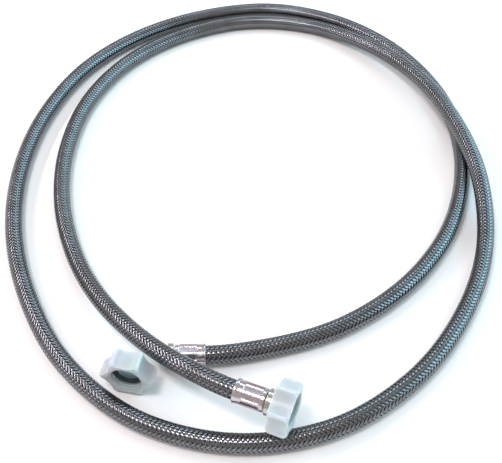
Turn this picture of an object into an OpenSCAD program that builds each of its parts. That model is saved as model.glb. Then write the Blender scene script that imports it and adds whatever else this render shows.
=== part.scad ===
// Braided supply line: a long flexible hose coiled nearly twice on a flat surface.
// Each end has a crimped ferrule on a barbed tailpiece. A plastic coupling nut turns
// freely on tailpiece A, and the second coupling nut lies loose beside the coil.
// Millimetres, +Z up. The origin is under the middle of the coil, on the surface.

/* [Hose] */
// Outside diameter of the steel braid
hose_d = 12; // [11.6:0.1:12]
// Wall thickness of the braid
braid_t = 0.9; // [0.6:0.1:0.9]
// Wall thickness of the inner liner
liner_t = 0.9; // [0.6:0.1:0.9]

/* [Ferrule] */
// Length of the ferrule
ferrule_len = 18.6; // [18:0.1:19]
// Outside diameter of the ferrule
ferrule_d = 14; // [13.8:0.1:14.4]
// Outside diameter of the rolled lip where the hose enters
lip_d = 14.8; // [14.4:0.1:15.2]
// Depth of the eight crimp panels
crimp_depth = 0.35; // [0.1:0.05:0.4]
// Length of each crimp panel
crimp_len = 11.5; // [8:0.5:12]

/* [Tailpiece] */
// Diameter of the waterway through the tailpiece
waterway_d = 5.8; // [4:0.1:6]
// Outside diameter of the collar behind the nut
collar_d = 15.8; // [14:0.1:15.8]
// Outside diameter of the neck that the nut turns on
neck_d = 10.8; // [10:0.1:10.8]
// Outside diameter of the bead that keeps the nut on the neck
bead_d = 13.8; // [13.4:0.1:14]

/* [Nut] */
// Length of the nut
nut_len = 12.5; // [11.5:0.1:12.8]
// Diameter over the six corner ridges
nut_d = 32.5; // [31:0.1:32.6]
// Depth of the dish in each of the six sides
dish_depth = 1.4; // [0.2:0.1:1.6]
// Width of each dish
dish_w = 13.8; // [12:0.1:14.4]
// Inside diameter over the crests of the G1/2 thread
thread_d = 18.6; // [18.4:0.05:18.7]
// Turn of nut A about its own axis
nut_a_turn = 54; // [0:1:59]

/* [Washer] */
// Inside diameter of the washer
washer_bore_d = 13; // [12:0.1:13.4]
// Thickness of the washer
washer_t = 1.6; // [1.2:0.1:1.8]

/* [Hidden] */
$fn = 64;

// Gap left round pieces that slide over each other, and in faces that only nearly touch
slip = 0.1;
turn_gap = 0.3;
// How far cutting shapes run past the faces they cut
past = 1;

// Hose: radii, number of sides of the swept tubes, and the distance between rings
hose_r = hose_d / 2;
liner_r = hose_r - braid_t - slip;
hose_sides = 10;
ring_gap = 30;

// Stations along the axis of an end, measured outwards from the ferrule's lip
stem_start = 0.6;
hose_stop = 16.2;
ferrule_wall = 1.2;
groove_w = 0.8;
collar_w = 3.4;
neck_w = 3.2;
bead_w = 2.2;
nut_play = 0.4;
stop_end = ferrule_len - ferrule_wall;
collar_start = ferrule_len + groove_w;
neck_start = collar_start + collar_w;
bead_start = neck_start + neck_w;
tail_end = bead_start + bead_w;

// Ferrule: bore over the hose, hole in its end wall, rolled lip, crimp panels
ferrule_bore_r = hose_r + slip;
wall_hole_r = 4.6;
lip_w = 1.6;
crimp_count = 8;
crimp_start = 5;

// Tailpiece: the barbed stem inside the liner
stem_r = 3.4;
barb_r = liner_r - liner_t - turn_gap;
barb_pitch = 4.4;
barb_count = 3;
stop_r = 5.6;
tail_bevel_l = 0.6;
tail_bevel_r = 0.5;

// Nut: stations along its axis from its back face, hexagon before its corners are rounded
nut_back = neck_start + nut_play;
nut_floor = 2.6;
nut_hole_d = neck_d + 2 * turn_gap;
corner_round = 0.7;
nut_hex_d = nut_d + corner_round;
nut_flat_r = nut_hex_d / 2 * cos(30);
nut_bevel = 1.4;
mouth_bevel = 0.8;
thread_outer_d = 20.96;
dish_r = (dish_w * dish_w / 4 + dish_depth * dish_depth) / (2 * dish_depth);

// Washer: seated in a groove behind the thread, which is wider than the thread. Washer A lies
// on its tailpiece's bead, and washer B has slid up to the thread's shoulder.
washer_a_start = tail_end - nut_back + slip;
washer_grip = 0.4;
washer_d = thread_d + washer_grip;
groove_d = washer_d + 2 * slip;
groove_end = 7.9;
washer_b_start = groove_end - slip - washer_t;

// Where the two ends lie: the ferrule's lip, and the heading of the axis away from the hose
end_a_lip = [-5, -200, 28];
end_a_heading = -21.5;
end_b_lip = [-24, -162.5, 8];
end_b_heading = 182;

// Where the loose nut lies, on one of its sides: its back face, and where its mouth points
nut_b_place = [-67.7, -173.2, nut_flat_r];
nut_b_heading = -101.5;
nut_b_turn = 30;

// The hose's route from ferrule B to ferrule A, as its centre line
ROUTE = [
    [10, -156.5, 6.5], [56, -141, 6], [100, -110, 6], [135, -66, 6], [157.5, -9, 6],
    [163.5, 53, 6], [151, 112.5, 6], [121, 165.5, 6], [76.5, 203.5, 6], [19, 221, 6],
    [-40, 210, 6], [-93, 180, 6], [-136, 132, 6], [-160.5, 72, 6], [-169, 5, 6],
    [-163, -54, 6], [-143, -114, 6], [-109, -169, 6], [-61, -207, 6], [-2, -221, 6],
    [51, -211, 6], [102, -177, 6], [139, -129, 6], [163, -72, 6.5], [168.5, -12, 15.5],
    [158.5, 50, 19.5], [137, 111, 16], [103, 161, 10.5], [57, 194, 6.5], [-1, 201.5, 6],
    [-55.5, 181.5, 6], [-99, 144, 6], [-128, 90, 6], [-138, 30, 6], [-132, -34, 6],
    [-112, -90, 6.5], [-71, -150, 17], [-30, -186, 26]
];

// Unit vector of v
function unit(v) = v / norm(v);

// Direction of an end's axis, away from the hose
function outward(heading) = [cos(heading), sin(heading), 0];

// Direction of the curve at point i, from the chords on both sides weighed by their lengths
function slope(points, i) =
    let (before = points[i] - points[i - 1], after = points[i + 1] - points[i])
    let (b = norm(before), a = norm(after))
    (before / b * a + after / a * b) / (a + b);

// Point at fraction t of the cubic curve from p to q, with slopes m and n at its ends
function cubic(p, q, m, n, t) =
    let (d = norm(q - p))
    (2 * t ^ 3 - 3 * t ^ 2 + 1) * p + (t ^ 3 - 2 * t ^ 2 + t) * d * m
    + (3 * t ^ 2 - 2 * t ^ 3) * q + (t ^ 3 - t ^ 2) * d * n;

// The point p, lifted to where the hose rests on the surface if it is lower
function resting(p) = [p.x, p.y, max(p.z, hose_r)];

// Centre line: straight inside each ferrule, and a smooth curve through ROUTE between them
function centre_line() =
    let (out_a = outward(end_a_heading), out_b = outward(end_b_heading))
    let (points = concat([end_b_lip], ROUTE, [end_a_lip]), last = len(points) - 1)
    let (slopes = [for (i = [0:last])
        i == 0 ? -out_b : i == last ? out_a : slope(points, i)])
    concat(
        [end_b_lip + hose_stop * out_b],
        [for (i = [0:last - 1])
            let (steps = max(1, round(norm(points[i + 1] - points[i]) / ring_gap)))
            for (k = [0:steps - 1])
                resting(cubic(points[i], points[i + 1], slopes[i], slopes[i + 1], k / steps))],
        [end_a_lip, end_a_lip + hose_stop * out_a]
    );

// Ring of hose_sides points round the centre line at point i, one of them straight below it
function ring(line, i, r) =
    let (ahead = line[min(i + 1, len(line) - 1)], behind = line[max(i - 1, 0)])
    let (along = unit(ahead - behind))
    let (side = unit(cross([0, 0, 1], along)), up = cross(along, side))
    [for (k = [0:hose_sides - 1])
        let (turn = 360 * k / hose_sides)
        line[i] + r * (up * cos(turn) + side * sin(turn))];

// Two triangles of a strip between corners a, b of one ring and c, d of the next
function strip(a, b, c, d) = [[a, b, d], [a, d, c]];

// Hollow tube swept along the centre line
module hose_tube(outer_r, inner_r) {
    line = centre_line();
    rings = len(line);
    inner = rings * hose_sides;
    points = [for (r = [outer_r, inner_r], i = [0:rings - 1]) each ring(line, i, r)];
    walls = [for (i = [0:rings - 2], k = [0:hose_sides - 1])
        let (a = i * hose_sides + k, b = i * hose_sides + (k + 1) % hose_sides)
        let (c = a + hose_sides, d = b + hose_sides)
        each concat(strip(a, b, c, d), strip(inner + b, inner + a, inner + d, inner + c))];
    ends = [for (k = [0:hose_sides - 1])
        let (next = (k + 1) % hose_sides, far = inner - hose_sides)
        each concat(
            strip(inner + k, inner + next, k, next),
            strip(far + k, far + next, inner + far + k, inner + far + next))];
    polyhedron(points, concat(walls, ends));
}

// Stands its children on an end's axis: their +Z runs away from the hose
module on_axis(place, heading) {
    translate(place) rotate([0, 90, heading]) children();
}

module ferrule(place, heading) {
    on_axis(place, heading) difference() {
        union() {
            cylinder(h = ferrule_len, d = ferrule_d);
            cylinder(h = lip_w, d1 = lip_d, d2 = ferrule_d);
        }
        translate([0, 0, -past]) cylinder(h = stop_end + past, r = ferrule_bore_r);
        cylinder(h = ferrule_len + past, r = wall_hole_r);
        for (k = [0:crimp_count - 1]) {
            rotate([0, 0, 360 * k / crimp_count])
                translate([ferrule_d / 2 - crimp_depth, -ferrule_d / 2, crimp_start])
                cube([ferrule_d, ferrule_d, crimp_len]);
        }
    }
}

module tailpiece(place, heading) {
    bore_r = waterway_d / 2;
    barbs = [for (k = [0:barb_count - 1])
        each [[stem_r, stem_start + k * barb_pitch], [barb_r, stem_start + (k + 1) * barb_pitch]]];
    outline = concat(
        [[bore_r, stem_start]], barbs,
        [[stem_r, stem_start + barb_count * barb_pitch], [stem_r, hose_stop],
         [stop_r, hose_stop], [stop_r, stop_end],
         [wall_hole_r - slip, stop_end], [wall_hole_r - slip, collar_start],
         [collar_d / 2, collar_start], [collar_d / 2, neck_start],
         [neck_d / 2, neck_start], [neck_d / 2, bead_start],
         [bead_d / 2, bead_start], [bead_d / 2, tail_end - tail_bevel_l],
         [bead_d / 2 - tail_bevel_r, tail_end], [bore_r, tail_end]]);
    on_axis(place, heading) rotate_extrude() polygon(outline);
}

// Side of the nut seen end on: a hexagon with a dish in each side
module nut_section() {
    difference() {
        circle(d = nut_hex_d, $fn = 6);
        for (k = [0:5]) {
            rotate(30 + 60 * k) translate([nut_flat_r - dish_depth + dish_r, 0]) circle(r = dish_r);
        }
    }
}

module nut(place, heading, turn) {
    rim = nut_d / 2;
    on_axis(place, heading) rotate([0, 0, turn]) difference() {
        intersection() {
            linear_extrude(nut_len) nut_section();
            rotate_extrude() polygon([[0, 0], [rim - nut_bevel, 0], [rim, nut_bevel],
                [rim, nut_len - nut_bevel], [rim - nut_bevel, nut_len], [0, nut_len]]);
        }
        translate([0, 0, -past]) cylinder(h = nut_floor + 2 * past, d = nut_hole_d);
        translate([0, 0, nut_floor]) cylinder(h = groove_end - nut_floor, d = groove_d);
        translate([0, 0, groove_end - past]) cylinder(h = nut_len, d = thread_d);
        translate([0, 0, nut_len - mouth_bevel])
            cylinder(h = mouth_bevel, d1 = thread_d, d2 = thread_outer_d);
    }
}

module washer(place, heading, start) {
    on_axis(place, heading) translate([0, 0, start]) difference() {
        cylinder(h = washer_t, d = washer_d);
        translate([0, 0, -past]) cylinder(h = washer_t + 2 * past, d = washer_bore_d);
    }
}

// Back face of nut A on the axis of end A
nut_a_place = end_a_lip + nut_back * outward(end_a_heading);

module hose_braid() {
    color("slategray") hose_tube(hose_r, hose_r - braid_t);
}
module hose_liner() {
    color("whitesmoke") hose_tube(liner_r, liner_r - liner_t);
}
module ferrule_a() {
    color("thistle") ferrule(end_a_lip, end_a_heading);
}
module ferrule_b() {
    color("thistle") ferrule(end_b_lip, end_b_heading);
}
module tailpiece_a() {
    color("darkkhaki") tailpiece(end_a_lip, end_a_heading);
}
module tailpiece_b() {
    color("darkkhaki") tailpiece(end_b_lip, end_b_heading);
}
module nut_a() {
    color("azure") nut(nut_a_place, end_a_heading, nut_a_turn);
}
module nut_b() {
    color("azure") nut(nut_b_place, nut_b_heading, nut_b_turn);
}
module washer_a() {
    color("darkslategray") washer(nut_a_place, end_a_heading, washer_a_start);
}
module washer_b() {
    color("darkslategray") washer(nut_b_place, nut_b_heading, washer_b_start);
}

hose_braid();
hose_liner();
ferrule_a();
ferrule_b();
tailpiece_a();
tailpiece_b();
nut_a();
nut_b();
washer_a();
washer_b();
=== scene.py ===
"""Braided supply line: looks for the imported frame. Metres, in the frame of part.scad."""
import math

import bpy
import numpy as np
from mathutils import Matrix, Vector


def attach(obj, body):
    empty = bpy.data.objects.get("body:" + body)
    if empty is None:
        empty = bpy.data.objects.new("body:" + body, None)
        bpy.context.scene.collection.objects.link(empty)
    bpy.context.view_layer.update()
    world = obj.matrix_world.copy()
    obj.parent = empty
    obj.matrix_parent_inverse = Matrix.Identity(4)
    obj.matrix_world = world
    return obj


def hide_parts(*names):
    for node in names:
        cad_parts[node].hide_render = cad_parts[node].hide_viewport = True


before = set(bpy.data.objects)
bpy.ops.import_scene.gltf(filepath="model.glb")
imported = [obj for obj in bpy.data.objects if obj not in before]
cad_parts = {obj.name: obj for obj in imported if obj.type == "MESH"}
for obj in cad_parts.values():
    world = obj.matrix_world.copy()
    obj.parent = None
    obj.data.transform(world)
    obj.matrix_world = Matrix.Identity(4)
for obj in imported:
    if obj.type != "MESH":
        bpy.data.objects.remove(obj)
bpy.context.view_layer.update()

MM = 0.001

# ---------------------------------------------------------------- sizes, as in part.scad
HOSE_R = 6 * MM
LINER_R = 5 * MM
LINER_BORE_R = 4.1 * MM
HOSE_STOP = 16.2 * MM          # how far the hose runs inside each ferrule

FERRULE_LEN = 18.6 * MM
FERRULE_R = 7 * MM
FERRULE_LIP_R = 7.4 * MM
FERRULE_BORE_R = 6.1 * MM
FERRULE_WALL = 1.2 * MM
WALL_HOLE_R = 4.6 * MM
CRIMP_COUNT = 8
CRIMP_START = 5 * MM
CRIMP_LEN = 11.5 * MM
CRIMP_DEPTH = 0.35 * MM

STEM_START = 0.6 * MM
STEM_R = 3.4 * MM
BARB_R = 3.8 * MM
BARB_PITCH = 4.4 * MM
BARB_COUNT = 3
STOP_R = 5.6 * MM
STOP_END = FERRULE_LEN - FERRULE_WALL
SHANK_R = WALL_HOLE_R - 0.1 * MM
WATERWAY_R = 2.9 * MM
COLLAR_R = 7.9 * MM
COLLAR_START = 19.4 * MM
NECK_R = 5.4 * MM
NECK_START = 22.8 * MM
BEAD_R = 6.9 * MM
BEAD_START = 26 * MM
TAIL_END = 28.2 * MM
TAIL_BEVEL_L = 0.6 * MM
TAIL_BEVEL_R = 0.5 * MM

NUT_LEN = 12.5 * MM
NUT_R = 16.25 * MM             # over the corner ridges
NUT_HEX_R = 16.6 * MM          # corner of the hexagon before it is rounded
NUT_BACK = 23.2 * MM           # from the ferrule's lip to the nut's back face
NUT_BEVEL = 1.4 * MM
NUT_FLOOR = 2.6 * MM
NUT_HOLE_R = 5.7 * MM
DISH_DEPTH = 1.4 * MM
DISH_W = 13.8 * MM
THREAD_R = 9.3 * MM
THREAD_OUTER_R = 10.48 * MM
MOUTH_BEVEL = 0.8 * MM
GROOVE_R = 9.6 * MM
GROOVE_END = 7.9 * MM

WASHER_R = 9.5 * MM
WASHER_BORE_R = 6.5 * MM
WASHER_T = 1.6 * MM
WASHER_A_START = 5.1 * MM      # against the tailpiece's bead
WASHER_B_START = 6.2 * MM      # slid up to the thread's shoulder

# ---------------------------------------------------------------- places, as in part.scad
END_A_LIP = np.array([-5, -200, 28]) * MM
END_A_HEADING = -21.5
END_B_LIP = np.array([-24, -162.5, 8]) * MM
END_B_HEADING = 182
NUT_A_TURN = 54
NUT_B_PLACE = np.array([-67.7, -173.2, 14.376]) * MM
NUT_B_HEADING = -101.5
NUT_B_TURN = 30

ROUTE = np.array([
    [10, -156.5, 6.5], [56, -141, 6], [100, -110, 6], [135, -66, 6], [157.5, -9, 6],
    [163.5, 53, 6], [151, 112.5, 6], [121, 165.5, 6], [76.5, 203.5, 6], [19, 221, 6],
    [-40, 210, 6], [-93, 180, 6], [-136, 132, 6], [-160.5, 72, 6], [-169, 5, 6],
    [-163, -54, 6], [-143, -114, 6], [-109, -169, 6], [-61, -207, 6], [-2, -221, 6],
    [51, -211, 6], [102, -177, 6], [139, -129, 6], [163, -72, 6.5], [168.5, -12, 15.5],
    [158.5, 50, 19.5], [137, 111, 16], [103, 161, 10.5], [57, 194, 6.5], [-1, 201.5, 6],
    [-55.5, 181.5, 6], [-99, 144, 6], [-128, 90, 6], [-138, 30, 6], [-132, -34, 6],
    [-112, -90, 6.5], [-71, -150, 17], [-30, -186, 26],
]) * MM

# ---------------------------------------------------------------- detail that only shows here
STRANDS = 10                   # ribbons wound each way
BRAID_PITCH = 28 * MM          # length of one turn of a ribbon
RIBBON_W = 1.88 * MM
RIBBON_POINTS = np.array([-1, -0.65, -0.22, 0.22, 0.65, 1])  # across it, in half widths
WIRES = 7                      # wires side by side in a ribbon
BRAID_MID_R = 5.64 * MM
WEAVE_RISE = 0.22 * MM         # how far a ribbon rises and falls as it passes others
WEAVE_CYCLE = 4                # crossings from one rise to the next: over two, under two
WEAVE_SNAP = 1.2               # how suddenly it rises and falls
RIBBON_CROWN = 0.11 * MM
STEPS_PER_CROSSING = 4
BRAID_PIECES = 10
# a dark tube under the braid, of painted shade, seen in the hollows between the ribbons
SHADE_TUBE_R = 5.45 * MM
SHADE_TUBE_BORE_R = 5.1 * MM

LIP_W = 0.9 * MM
LIP_END = 2.2 * MM             # where the slope down from the lip ends
CRIMP_W = 4.4 * MM
CRIMP_CORNER = 0.9 * MM
CRIMP_ROLL = 0.6 * MM          # how wide the rolled edge of a panel is
CRIMP_EXTRA = 0.3 * MM         # how much deeper than flat a panel is pressed
CRIMP_RIDGE = 0.05 * MM        # height of the ridge that is pushed up round a panel
CRIMP_RIDGE_OUT = 0.2 * MM     # how far outside the panel's edge it stands
CRIMP_RIDGE_W = 0.3 * MM

RIDGE_STEP = 0.9 * MM          # how far the sides are sunk beside each corner ridge
RIDGE_STEP_W = 0.4 * MM
RIDGE_ROUND = 0.12 * MM        # rounds the edges of the ridges
RIDGE_LET_OUT = 0.1 * MM       # makes up for what the rounding takes off
THREAD_PITCH = 1.814 * MM
THREAD_STEEP = 1.35            # how steep the flanks of the thread's groove are
THREAD_CREST = 0.2             # more of it leaves a wider flat crest between the grooves
THREAD_RUN_IN = 0.5 * MM       # over which the groove deepens from nothing

# ---------------------------------------------------------------- view and light
CAMERA_PLACE = (0.003, -0.4605, 0.4398)
CAMERA_DOWN = 47.09            # degrees below level
CAMERA_ROLL = 0.45
CAMERA_LENS = 60.96

WORLD_COLOUR = (1.0, 0.96, 0.93)
WORLD_STRENGTH = 0.6
# name, place, width and height, watts, colour; each one faces the origin
LIGHTS = [
    ("key", (-0.3, -0.42, 1.25), (0.4, 0.25), 7, (0.95, 0.94, 1.0)),
    ("left_strip", (-1.15, 0.2, 0.95), (1.6, 0.1), 10, (0.97, 0.92, 1.0)),
    ("window", (1.35, 0.5, 0.75), (2.0, 1.2), 24, (0.4, 0.8, 0.98)),
    ("sky_panel", (0, 1.3, 1.5), (1.0, 0.3), 6, (0.62, 0.84, 1.0)),
]
FLOOR_HALF = 6.0
FLOOR_GAP = 0.2 * MM           # keeps the floor from touching what lies on it


# ---------------------------------------------------------------- camera
def make_camera():
    """Above the near side of the coil, looking down across it along +Y."""
    data = bpy.data.cameras.new("camera")
    data.sensor_fit = "HORIZONTAL"
    data.sensor_width = 36
    data.lens = CAMERA_LENS
    camera = bpy.data.objects.new("camera", data)
    pitch = Matrix.Rotation(math.radians(90 - CAMERA_DOWN), 4, "X")
    roll = Matrix.Rotation(math.radians(CAMERA_ROLL), 4, "Z")
    camera.matrix_world = Matrix.Translation(CAMERA_PLACE) @ pitch @ roll
    bpy.context.scene.collection.objects.link(camera)
    bpy.context.scene.camera = camera


make_camera()


# ---------------------------------------------------------------- meshes
def make_mesh(name, points, faces, material, sharp=50, uv=None):
    """Object from points and quads, smooth but for edges sharper than the given angle."""
    mesh = bpy.data.meshes.new(name)
    faces = np.asarray(faces, np.int32)
    count, sides = faces.shape
    mesh.vertices.add(len(points))
    mesh.vertices.foreach_set("co", np.asarray(points, np.float32).ravel())
    mesh.loops.add(count * sides)
    mesh.loops.foreach_set("vertex_index", faces.ravel())
    mesh.polygons.add(count)
    mesh.polygons.foreach_set("loop_start", np.arange(0, count * sides, sides, dtype=np.int32))
    mesh.polygons.foreach_set("use_smooth", np.ones(count, bool))
    if uv is not None:
        layer = mesh.uv_layers.new(name="strand")
        layer.data.foreach_set("uv", np.asarray(uv, np.float32)[faces.ravel()].ravel())
    mesh.update(calc_edges=True)
    mesh.validate()
    mesh.set_sharp_from_angle(angle=math.radians(sharp))
    mesh.materials.append(material)
    piece = bpy.data.objects.new(name, mesh)
    bpy.context.scene.collection.objects.link(piece)
    return piece


def closed_grid(rows, columns):
    """Quads of a grid that closes on itself both ways."""
    i, j = np.meshgrid(np.arange(rows), np.arange(columns), indexing="ij")
    a, b = i * columns + j, i * columns + (j + 1) % columns
    below = (i + 1) % rows
    c, d = below * columns + j, below * columns + (j + 1) % columns
    return np.stack([a, b, d, c], -1).reshape(-1, 4)


def end_axes(heading):
    """An end's axis, and the two directions across it that part.scad calls x and y."""
    turn = math.radians(heading)
    axis = np.array([math.cos(turn), math.sin(turn), 0])
    return axis, np.array([0, 0, -1.0]), np.array([-math.sin(turn), math.cos(turn), 0])


def turned_piece(name, place, heading, profile, material, radius=None, around=192, turn=0, sharp=40):
    """Piece made of rings on an end's axis. profile is a closed outline of (station, radius)
    points; radius(station, radius, angle) may reshape it round the axis."""
    station, r = np.asarray(profile, float).T
    angle = np.linspace(0, 2 * math.pi, around, endpoint=False)
    grid_r = np.repeat(r[:, None], around, 1)
    if radius is not None:
        grid_r = radius(station[:, None], grid_r, angle[None, :])
    axis, x, y = end_axes(heading)
    out = angle + math.radians(turn)
    across = np.cos(out)[:, None] * x + np.sin(out)[:, None] * y
    points = place + station[:, None, None] * axis + grid_r[:, :, None] * across[None]
    return make_mesh(name, points.reshape(-1, 3), closed_grid(len(profile), around), material, sharp)


def rounded(outline, size, steps=4):
    """Closed outline with each corner replaced by a small curve. size is one radius, or one
    for each corner."""
    outline = np.asarray(outline, float)
    sizes = np.broadcast_to(size, len(outline))
    result = []
    for k, corner in enumerate(outline):
        before, after = outline[k - 1] - corner, outline[(k + 1) % len(outline)] - corner
        reach = min(sizes[k], 0.45 * np.linalg.norm(before), 0.45 * np.linalg.norm(after))
        start = corner + before / np.linalg.norm(before) * reach
        end = corner + after / np.linalg.norm(after) * reach
        for t in np.linspace(0, 1, steps):
            result.append((1 - t) ** 2 * start + 2 * t * (1 - t) * corner + t ** 2 * end)
    return np.array(result)


def subdivided(outline, gap):
    """Closed outline with points added so that none is further than gap from the next."""
    result = []
    for k, start in enumerate(outline):
        end = outline[(k + 1) % len(outline)]
        steps = max(1, math.ceil(np.linalg.norm(end - start) / gap))
        result += [start + (end - start) * t / steps for t in range(steps)]
    return np.array(result)


def smooth_step(x):
    x = np.clip(x, 0, 1)
    return x * x * (3 - 2 * x)


# ---------------------------------------------------------------- material helpers
def new_material(name, base, metallic=0.0, roughness=0.5, **sockets):
    material = bpy.data.materials.new(name)
    material.use_nodes = True
    tree = material.node_tree
    shader = tree.nodes["Principled BSDF"]
    shader.inputs["Base Color"].default_value = (*base, 1)
    shader.inputs["Metallic"].default_value = metallic
    shader.inputs["Roughness"].default_value = roughness
    for socket, value in sockets.items():
        shader.inputs[socket.replace("_", " ")].default_value = value
    return material, tree, shader


def add(tree, kind, inputs=None, **settings):
    """New node. inputs gives each socket a value, or another node's output to read."""
    node = tree.nodes.new(kind)
    for key, value in settings.items():
        setattr(node, key, value)
    for key, value in (inputs or {}).items():
        if isinstance(value, bpy.types.NodeSocket):
            tree.links.new(value, node.inputs[key])
        else:
            node.inputs[key].default_value = value
    return node


def noise(tree, scale, detail=3.0, vector=None):
    if vector is None:
        vector = add(tree, "ShaderNodeTexCoord").outputs["Object"]
    inputs = {"Vector": vector, "Scale": scale, "Detail": detail}
    return add(tree, "ShaderNodeTexNoise", inputs).outputs["Fac"]


def spread(tree, value, to_min, to_max, from_min=0.0, from_max=1.0):
    """Maps value from one range to another."""
    inputs = {
        "Value": value, "From Min": from_min, "From Max": from_max,
        "To Min": to_min, "To Max": to_max}
    return add(tree, "ShaderNodeMapRange", inputs).outputs["Result"]


def maths(tree, operation, a, b=0.0):
    return add(tree, "ShaderNodeMath", {0: a, 1: b}, operation=operation).outputs["Value"]


def from_middle(tree, share):
    """Turns 0 to 1 into -1 to 1."""
    return maths(tree, "SUBTRACT", maths(tree, "MULTIPLY", share, 2.0), 1.0)


def ramp(tree, value, stops):
    """Colours along value. stops are (position, colour), in rising order."""
    node = add(tree, "ShaderNodeValToRGB", {"Fac": value})
    ends = node.color_ramp.elements[0], node.color_ramp.elements[1]
    for element, (position, colour) in zip(ends, (stops[0], stops[-1])):
        element.position = position
        element.color = (*colour, 1)
    for position, colour in stops[1:-1]:
        node.color_ramp.elements.new(position).color = (*colour, 1)
    return node.outputs["Color"]


def tinted(tree, shader, value, stops):
    tree.links.new(ramp(tree, value, stops), shader.inputs["Base Color"])


def roughened(tree, shader, scale, low, high):
    tree.links.new(spread(tree, noise(tree, scale), low, high), shader.inputs["Roughness"])


def bumped(tree, shader, height, strength, distance):
    node = add(tree, "ShaderNodeBump", {"Height": height, "Strength": strength, "Distance": distance})
    tree.links.new(node.outputs["Normal"], shader.inputs["Normal"])


# ---------------------------------------------------------------- materials
def braid_material():
    """Bright stainless wires side by side in each ribbon, a little tarnished here and there, with
    painted shade in the creases between the wires and along each ribbon's edges.
    """
    material, tree, shader = new_material("woven_steel", (0.24, 0.24, 0.245), 1.0, 0.2)
    uv = add(tree, "ShaderNodeUVMap", uv_map="strand").outputs["UV"]
    across = add(tree, "ShaderNodeSeparateXYZ", {"Vector": uv}).outputs["X"]
    across_wire = maths(tree, "FRACT", maths(tree, "MULTIPLY", across, float(WIRES)))
    squared = maths(tree, "POWER", from_middle(tree, across_wire), 2.0)
    round_wire = maths(tree, "SQRT", maths(tree, "SUBTRACT", 1.0, squared))
    bumped(tree, shader, round_wire, strength=0.15, distance=0.05 * MM)
    steel = ramp(tree, noise(tree, 90.0), [
        (0.3, (0.185, 0.185, 0.19)), (0.55, (0.22, 0.225, 0.24)), (0.75, (0.25, 0.25, 0.28))])
    # Painted shade: each ribbon turns dark towards its edges, where it meets its neighbours, and each
    # wire turns dark towards its sides.
    off_middle = maths(tree, "ABSOLUTE", from_middle(tree, across))
    ribbon_shade = spread(tree, off_middle, 1.0, 0.1, from_min=0.55, from_max=0.95)
    shade = maths(tree, "MULTIPLY", spread(tree, round_wire, 0.6, 1.0), ribbon_shade)
    factor, first, second, result = 0, 6, 7, 2    # the Mix node's sockets for colours
    # Near-black colour of that painted shade.
    painted_crease_shade = (0.02, 0.018, 0.016, 1)
    mix = add(tree, "ShaderNodeMix", {factor: shade, first: painted_crease_shade, second: steel}, data_type="RGBA")
    tree.links.new(mix.outputs[result], shader.inputs["Base Color"])
    roughened(tree, shader, 400.0, 0.15, 0.24)
    return material


def shade_tube_material():
    """Painted shade: a dark tube under the ribbons, seen as the dark hollows between them."""
    material, tree, shader = new_material("braid_shadow", (0.03, 0.032, 0.036), 0.4, 0.6)
    tinted(tree, shader, noise(tree, 900.0), [
        (0.35, (0.008, 0.007, 0.006)), (0.7, (0.03, 0.027, 0.024))])
    bumped(tree, shader, noise(tree, 3000.0), strength=0.4, distance=0.2 * MM)
    return material


def liner_material():
    """Pale rubber, inside the braid."""
    material, tree, shader = new_material("liner_rubber", (0.8, 0.8, 0.77), 0.0, 0.5)
    tinted(tree, shader, noise(tree, 60.0), [
        (0.3, (0.76, 0.76, 0.72)), (0.7, (0.85, 0.85, 0.82))])
    bumped(tree, shader, noise(tree, 1500.0), strength=0.1, distance=0.2 * MM)
    return material


def ferrule_material():
    """Pressed stainless, bright and a little pink, with fine marks from the crimping jaws."""
    material, tree, shader = new_material("crimped_steel", (0.62, 0.56, 0.58), 1.0, 0.2)
    tinted(tree, shader, noise(tree, 250.0), [
        (0.3, (0.49, 0.42, 0.46)), (0.5, (0.57, 0.5, 0.53)), (0.75, (0.64, 0.59, 0.62))])
    roughened(tree, shader, 300.0, 0.14, 0.26)
    bumped(tree, shader, noise(tree, 900.0, 2.0), strength=0.1, distance=0.1 * MM)
    return material


def tailpiece_material():
    """Nickel plate over brass, slightly olive."""
    material, tree, shader = new_material("nickel_plate", (0.45, 0.44, 0.38), 1.0, 0.2)
    tinted(tree, shader, noise(tree, 250.0), [
        (0.3, (0.42, 0.41, 0.35)), (0.7, (0.56, 0.55, 0.5))])
    roughened(tree, shader, 900.0, 0.15, 0.32)
    bumped(tree, shader, noise(tree, 2500.0), strength=0.15, distance=0.1 * MM)
    return material


def nut_material():
    """Milky moulded plastic that light soaks into, with faint flow marks."""
    material, tree, shader = new_material(
        "milky_plastic", (0.55, 0.6, 0.62), 0.0, 0.34, IOR=1.5, Subsurface_Weight=0.85,
        Subsurface_Radius=(0.8, 1.0, 1.0), Subsurface_Scale=0.01)
    stretched = add(tree, "ShaderNodeMapping", {
        "Vector": add(tree, "ShaderNodeTexCoord").outputs["Object"], "Scale": (1.0, 0.5, 1.0)})
    tinted(tree, shader, noise(tree, 45.0, 2.0, stretched.outputs["Vector"]), [
        (0.3, (0.44, 0.56, 0.54)), (0.5, (0.5, 0.53, 0.55)), (0.7, (0.53, 0.5, 0.54))])
    roughened(tree, shader, 350.0, 0.28, 0.42)
    bumped(tree, shader, noise(tree, 500.0, 2.0), strength=0.08, distance=0.3 * MM)
    return material


def washer_material():
    """Dull black rubber."""
    material, tree, shader = new_material("washer_rubber", (0.02, 0.035, 0.04), 0.0, 0.5)
    tinted(tree, shader, noise(tree, 500.0), [
        (0.3, (0.012, 0.022, 0.026)), (0.7, (0.035, 0.055, 0.06))])
    roughened(tree, shader, 1200.0, 0.4, 0.6)
    bumped(tree, shader, noise(tree, 3500.0), strength=0.2, distance=0.1 * MM)
    return material


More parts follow.
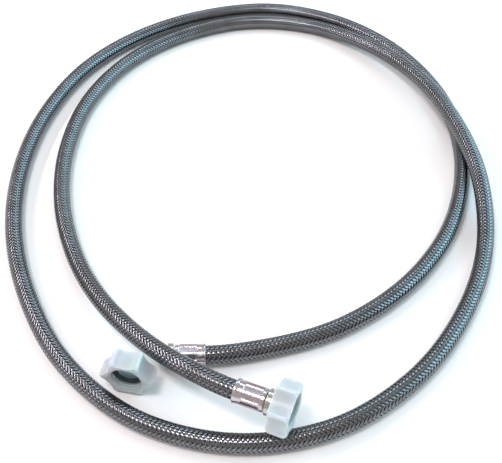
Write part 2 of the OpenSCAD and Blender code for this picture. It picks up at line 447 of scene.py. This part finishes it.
# ---------------------------------------------------------------- the hose's centre line
def centre_line(gap):
    """Points along the hose: straight in each ferrule, and a smooth curve between them."""
    out_a, out_b = end_axes(END_A_HEADING)[0], end_axes(END_B_HEADING)[0]
    points = np.vstack([END_B_LIP, ROUTE, END_A_LIP])
    chord = np.diff(points, axis=0)
    length = np.linalg.norm(chord, axis=1)[:, None]
    heading = chord / length
    slope = np.empty_like(points)
    weighed = heading[:-1] * length[1:] + heading[1:] * length[:-1]
    slope[1:-1] = weighed / (length[1:] + length[:-1])
    slope[0], slope[-1] = -out_b, out_a
    curve = []
    for k in range(len(chord)):
        steps = max(1, round(float(length[k, 0]) / gap))
        for t in np.arange(steps) / steps:
            curve.append(
                (2 * t ** 3 - 3 * t ** 2 + 1) * points[k]
                + (t ** 3 - 2 * t ** 2 + t) * length[k] * slope[k]
                + (3 * t ** 2 - 2 * t ** 3) * points[k + 1]
                + (t ** 3 - t ** 2) * length[k] * slope[k + 1])
    curve = np.array(curve)
    curve[:, 2] = np.maximum(curve[:, 2], HOSE_R)
    inside = np.linspace(HOSE_STOP, 0, max(2, round(HOSE_STOP / gap) + 1))[:, None]
    return np.vstack([END_B_LIP + inside[:-1] * out_b, curve, END_A_LIP + inside[::-1] * out_a])


class HoseLine:
    """The centre line by its length, with the directions up and to the side at each point."""

    def __init__(self):
        self.points = centre_line(1 * MM)
        steps = np.linalg.norm(np.diff(self.points, axis=0), axis=1)
        self.stations = np.concatenate([[0], np.cumsum(steps)])
        self.length = self.stations[-1]
        along = np.gradient(self.points, axis=0)
        along /= np.linalg.norm(along, axis=1)[:, None]
        side = np.cross([0, 0, 1.0], along)
        self.side = side / np.linalg.norm(side, axis=1)[:, None]
        self.up = np.cross(along, self.side)

    def at(self, station, values):
        return np.stack([np.interp(station, self.stations, values[:, k]) for k in range(3)], -1)

    def on_surface(self, station, radius, angle):
        """Points at a distance from the centre line, at an angle from straight up."""
        up, side = self.at(station, self.up), self.at(station, self.side)
        out = np.cos(angle)[..., None] * up + np.sin(angle)[..., None] * side
        return self.at(station, self.points) + radius[..., None] * out


hose_line = HoseLine()


def hose_tube(name, outer_r, inner_r, material, gap, around):
    """Hollow tube along the hose. Returns the piece and the ring centres that it follows."""
    rings = int(round(hose_line.length / gap)) + 1
    station = np.linspace(0, hose_line.length, rings)
    angle = np.linspace(0, 2 * math.pi, around, endpoint=False)
    outside, inside = (
        hose_line.on_surface(*np.broadcast_arrays(station[:, None], r, angle[None, :]))
        for r in (outer_r, inner_r))
    points = np.concatenate([outside, inside[::-1]]).reshape(-1, 3)
    facing_out = closed_grid(2 * rings, around)[:, ::-1]
    piece = make_mesh(name, points, facing_out, material)
    return piece, hose_line.at(station, hose_line.points)


# ---------------------------------------------------------------- the braid
def ribbon_points(station, strand, way):
    """Cross-sections of one ribbon, wound one way or the other, at stations of the hose."""
    helix = way * 2 * math.pi * station / BRAID_PITCH
    crossing = 2 * strand + way * 2 * STRANDS * station / BRAID_PITCH
    swing = np.cos(2 * math.pi * (crossing - 0.5) / WEAVE_CYCLE)
    wave = np.tanh(WEAVE_SNAP * swing) / math.tanh(WEAVE_SNAP)
    lean = math.atan2(2 * math.pi * BRAID_MID_R, BRAID_PITCH)
    offset = RIBBON_POINTS[None, :] * RIBBON_W / 2
    place = station[:, None] - way * math.sin(lean) * offset
    start = (helix + 2 * math.pi * strand / STRANDS)[:, None]
    turn = start + math.cos(lean) * offset / BRAID_MID_R
    crown = RIBBON_CROWN * (1 - RIBBON_POINTS ** 2)[None, :]
    radius = BRAID_MID_R + way * WEAVE_RISE * wave[:, None] + crown
    return hose_line.on_surface(np.clip(place, 0, hose_line.length), radius, turn)


def strip_faces(rows):
    """Faces of a closed strip whose cross-sections are RIBBON_POINTS, with both its ends."""
    columns = len(RIBBON_POINTS)
    i, j = np.meshgrid(np.arange(rows - 1), np.arange(columns), indexing="ij")
    a, b = i * columns + j, i * columns + (j + 1) % columns
    sides = np.stack([a, a + columns, b + columns, b], -1).reshape(-1, 4)
    near_end = np.array([[0, 1, 4, 5], [1, 2, 3, 4]])
    far_end = near_end[:, ::-1] + (rows - 1) * columns
    return np.concatenate([sides, near_end, far_end])


def braid_piece(name, first, last, material):
    """All the ribbons between two stations of the hose, each a closed strip."""
    gap = BRAID_PITCH / (2 * STRANDS) / STEPS_PER_CROSSING
    rows = int(round((last - first) / gap)) + 1
    station = np.linspace(first, last, rows)
    columns = len(RIBBON_POINTS)
    u = np.broadcast_to((RIBBON_POINTS + 1) / 2, (rows, columns))
    v = np.broadcast_to(station[:, None], (rows, columns))
    strip, strip_uv = strip_faces(rows), np.stack([u, v], -1).reshape(-1, 2)
    ribbons = [(strand, way) for way in (1, -1) for strand in range(STRANDS)]
    points = [ribbon_points(station, strand, way).reshape(-1, 3) for strand, way in ribbons]
    faces = [strip + k * rows * columns for k in range(len(ribbons))]
    return make_mesh(
        name, np.concatenate(points), np.concatenate(faces), material, sharp=60,
        uv=np.tile(strip_uv, (len(ribbons), 1)))


# ---------------------------------------------------------------- ferrules and tailpieces
def crimped(station, radius, angle):
    """The ferrule's outside with a shallow rounded panel pressed in by each jaw."""
    pitch = 2 * math.pi / CRIMP_COUNT
    sideways = np.abs((angle + pitch / 2) % pitch - pitch / 2) * FERRULE_R
    lengthwise = np.abs(station - CRIMP_START - CRIMP_LEN / 2)
    over_x = np.maximum(lengthwise - (CRIMP_LEN / 2 - CRIMP_CORNER), 0)
    over_y = np.maximum(sideways - (CRIMP_W / 2 - CRIMP_CORNER), 0)
    inside = CRIMP_CORNER - np.hypot(over_x, over_y)
    widest = 0.6                    # radians, well past a panel's edge
    flat_r = (FERRULE_R - CRIMP_DEPTH) / np.cos(np.clip(sideways / FERRULE_R, 0, widest))
    depth = smooth_step(inside / CRIMP_ROLL) * (np.maximum(FERRULE_R - flat_r, 0) + CRIMP_EXTRA)
    ridge = CRIMP_RIDGE * np.exp(-((inside + CRIMP_RIDGE_OUT) / CRIMP_RIDGE_W) ** 2)
    outside = radius > FERRULE_R - 0.05 * MM
    return np.where(outside, radius - depth + ridge, radius)


def make_ferrule(name, lip, heading, material):
    end = FERRULE_LEN
    outline = [
        (0, FERRULE_BORE_R), (0, FERRULE_LIP_R), (LIP_W, FERRULE_LIP_R), (LIP_END, FERRULE_R),
        (end, FERRULE_R), (end, WALL_HOLE_R), (STOP_END, WALL_HOLE_R), (STOP_END, FERRULE_BORE_R)]
    corners = np.array([0.3, 0.35, 0.5, 0.8, 0.6, 0.2, 0.2, 0.3]) * MM
    profile = subdivided(rounded(outline, corners, steps=6), gap=0.2 * MM)
    return turned_piece(
        name, lip, heading, profile, material, radius=crimped, around=320, sharp=60)


def make_tailpiece(name, lip, heading, material):
    outline = [(STEM_START, WATERWAY_R)]
    for k in range(BARB_COUNT):
        foot, tip = STEM_START + k * BARB_PITCH, STEM_START + (k + 1) * BARB_PITCH
        outline += [(foot, STEM_R), (tip, BARB_R)]
    outline += [
        (tip + 0.1 * MM, STEM_R), (HOSE_STOP, STEM_R), (HOSE_STOP, STOP_R), (STOP_END, STOP_R),
        (STOP_END, SHANK_R), (COLLAR_START, SHANK_R), (COLLAR_START, COLLAR_R),
        (NECK_START, COLLAR_R), (NECK_START, NECK_R), (BEAD_START, NECK_R), (BEAD_START, BEAD_R),
        (TAIL_END - TAIL_BEVEL_L, BEAD_R), (TAIL_END, BEAD_R - TAIL_BEVEL_R),
        (TAIL_END, WATERWAY_R)]
    profile = subdivided(rounded(outline, 0.35 * MM, steps=5), gap=0.8 * MM)
    return turned_piece(name, lip, heading, profile, material)


# ---------------------------------------------------------------- nuts and washers
def soft_min(a, b):
    """The lower of a and b, with the corner where they cross rounded."""
    return -RIDGE_ROUND * np.logaddexp(-a / RIDGE_ROUND, -b / RIDGE_ROUND)


def nut_side(angle):
    """Radius of the nut's section at an angle: a hexagon with a dish in each side."""
    from_flat = angle % (math.pi / 3) - math.pi / 6
    flat_r = NUT_HEX_R * math.cos(math.pi / 6)
    straight = flat_r / np.cos(from_flat)
    dish_r = (DISH_W ** 2 / 4 + DISH_DEPTH ** 2) / (2 * DISH_DEPTH)
    centre = flat_r - DISH_DEPTH + dish_r
    inner = np.maximum(dish_r ** 2 - (centre * np.sin(from_flat)) ** 2, 0)
    dished = np.where(inner > 0, centre * np.cos(from_flat) - np.sqrt(inner), straight)
    sideways = np.abs(straight * np.sin(from_flat))
    dished = dished - RIDGE_STEP * smooth_step((DISH_W / 2 - sideways) / RIDGE_STEP_W)
    return soft_min(soft_min(straight, dished), NUT_R) + RIDGE_LET_OUT


def nut_shape(station, radius, angle):
    """Presses the sides into the outside of the nut and cuts the thread into its bore."""
    beyond_bore = radius > 12 * MM
    shaped = np.where(beyond_bore, np.minimum(radius, nut_side(angle)), radius)
    turns = (station / THREAD_PITCH + angle / (2 * math.pi)) % 1
    tooth = np.clip(THREAD_STEEP * (1 - np.abs(2 * turns - 1)) - THREAD_CREST, 0, 1)
    run_in = smooth_step((station - GROOVE_END) / THREAD_RUN_IN)
    cut = (THREAD_OUTER_R - THREAD_R) * smooth_step(tooth) * run_in
    on_crest = np.abs(radius - THREAD_R) < 0.02 * MM
    past_groove = station > GROOVE_END - 0.1 * MM
    return np.where(on_crest & past_groove, shaped + cut, shaped)


def make_nut(name, place, heading, turn, material):
    rim = NUT_R + RIDGE_LET_OUT
    outline = [
        (0, NUT_HOLE_R), (0, NUT_R - NUT_BEVEL), (NUT_BEVEL, rim), (NUT_LEN - NUT_BEVEL, rim),
        (NUT_LEN, NUT_R - NUT_BEVEL), (NUT_LEN, THREAD_OUTER_R), (NUT_LEN - MOUTH_BEVEL, THREAD_R),
        (GROOVE_END, THREAD_R), (GROOVE_END, GROOVE_R), (NUT_FLOOR, GROOVE_R),
        (NUT_FLOOR, NUT_HOLE_R)]
    corners = np.array([0.3, 0.6, 0.8, 0.8, 0.6, 0.3, 0.2, 0.1, 0.1, 0.3, 0.3]) * MM
    profile = subdivided(rounded(outline, corners, steps=5), gap=0.24 * MM)
    return turned_piece(
        name, place, heading, profile, material, radius=nut_shape, around=396, turn=turn, sharp=60)


def make_washer(name, place, heading, start, material):
    end = start + WASHER_T
    outline = [(start, WASHER_BORE_R), (start, WASHER_R), (end, WASHER_R), (end, WASHER_BORE_R)]
    profile = subdivided(rounded(outline, 0.35 * MM, steps=6), gap=0.5 * MM)
    return turned_piece(name, place, heading, profile, material)


# ---------------------------------------------------------------- building the object
def build_hose():
    """Braid, the dark tube of painted shade under it, and liner. Returns that tube, the path it
    follows, and the rest.
    """
    shade_tube, path = hose_tube(
        "braid_shade_tube", SHADE_TUBE_R, SHADE_TUBE_BORE_R, shade_tube_material(), gap=3 * MM, around=24)
    liner, _ = hose_tube(
        "liner_tube", LINER_R, LINER_BORE_R, liner_material(), gap=4 * MM, around=20)
    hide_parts("hose_braid")
    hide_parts("hose_liner")
    steel = braid_material()
    cuts = np.linspace(0, hose_line.length, BRAID_PIECES + 1)
    braid = [braid_piece(f"braid_{k + 1}", cuts[k], cuts[k + 1], steel) for k in range(BRAID_PIECES)]
    for piece in [shade_tube, liner, *braid]:
        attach(piece, "hose")
    return shade_tube, path, [liner, *braid]


def fit_in(piece, kind, end, body):
    """Puts a piece in the place of the CAD node of its kind at that end, on a body."""
    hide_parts(f"{kind}_{end}")
    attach(piece, body)


def build_ends():
    """Ferrules and tailpieces, all crimped to the hose."""
    steel, plate = ferrule_material(), tailpiece_material()
    pieces = []
    for end, lip, heading in (("a", END_A_LIP, END_A_HEADING), ("b", END_B_LIP, END_B_HEADING)):
        ferrule = make_ferrule(f"crimped_ferrule_{end}", lip, heading, steel)
        tail = make_tailpiece(f"barbed_tail_{end}", lip, heading, plate)
        fit_in(ferrule, "ferrule", end, "hose")
        fit_in(tail, "tailpiece", end, "hose")
        pieces += [ferrule, tail]
    return pieces


def build_nuts():
    """Nut and washer of each end. Returns those of nut A, which the hose carries."""
    plastic, rubber = nut_material(), washer_material()
    nut_a_place = END_A_LIP + NUT_BACK * end_axes(END_A_HEADING)[0]
    places = (
        ("a", nut_a_place, END_A_HEADING, NUT_A_TURN, WASHER_A_START),
        ("b", NUT_B_PLACE, NUT_B_HEADING, NUT_B_TURN, WASHER_B_START))
    pairs = {}
    for end, place, heading, turn, washer_start in places:
        nut = make_nut(f"coupling_nut_{end}", place, heading, turn, plastic)
        washer = make_washer(f"seal_washer_{end}", place, heading, washer_start, rubber)
        fit_in(nut, "nut", end, f"nut_{end}")
        fit_in(washer, "washer", end, f"nut_{end}")
        pairs[end] = [nut, washer]
    return pairs["a"]


shade_tube, shade_tube_path, sleeves = build_hose()
fittings = build_ends()
nut_a_pieces = build_nuts()


# ---------------------------------------------------------------- floor and light
def make_floor():
    material, tree, shader = new_material("pale_floor", (0.92, 0.89, 0.87), 0.0, 0.8)
    tinted(tree, shader, noise(tree, 4.0), [
        (0.2, (0.91, 0.88, 0.86)), (0.8, (0.93, 0.9, 0.88))])
    signs = ((-1, -1), (1, -1), (1, 1), (-1, 1))
    points = [(x * FLOOR_HALF, y * FLOOR_HALF, -FLOOR_GAP) for x, y in signs]
    make_mesh("floor", points, [[0, 1, 2, 3]], material)


def make_light(name, place, size, power, colour):
    data = bpy.data.lights.new(name, "AREA")
    data.shape = "RECTANGLE"
    data.size, data.size_y = size
    data.energy = power
    data.color = colour
    light = bpy.data.objects.new(name, data)
    light.location = place
    light.rotation_euler = (-Vector(place)).to_track_quat("-Z", "Y").to_euler()
    bpy.context.scene.collection.objects.link(light)


def make_world():
    world = bpy.data.worlds.new("studio")
    world.use_nodes = True
    background = world.node_tree.nodes["Background"]
    background.inputs["Color"].default_value = (*WORLD_COLOUR, 1)
    background.inputs["Strength"].default_value = WORLD_STRENGTH
    bpy.context.scene.world = world


make_floor()
make_world()
for light in LIGHTS:
    make_light(*light)
bpy.context.scene.view_settings.view_transform = "Standard"
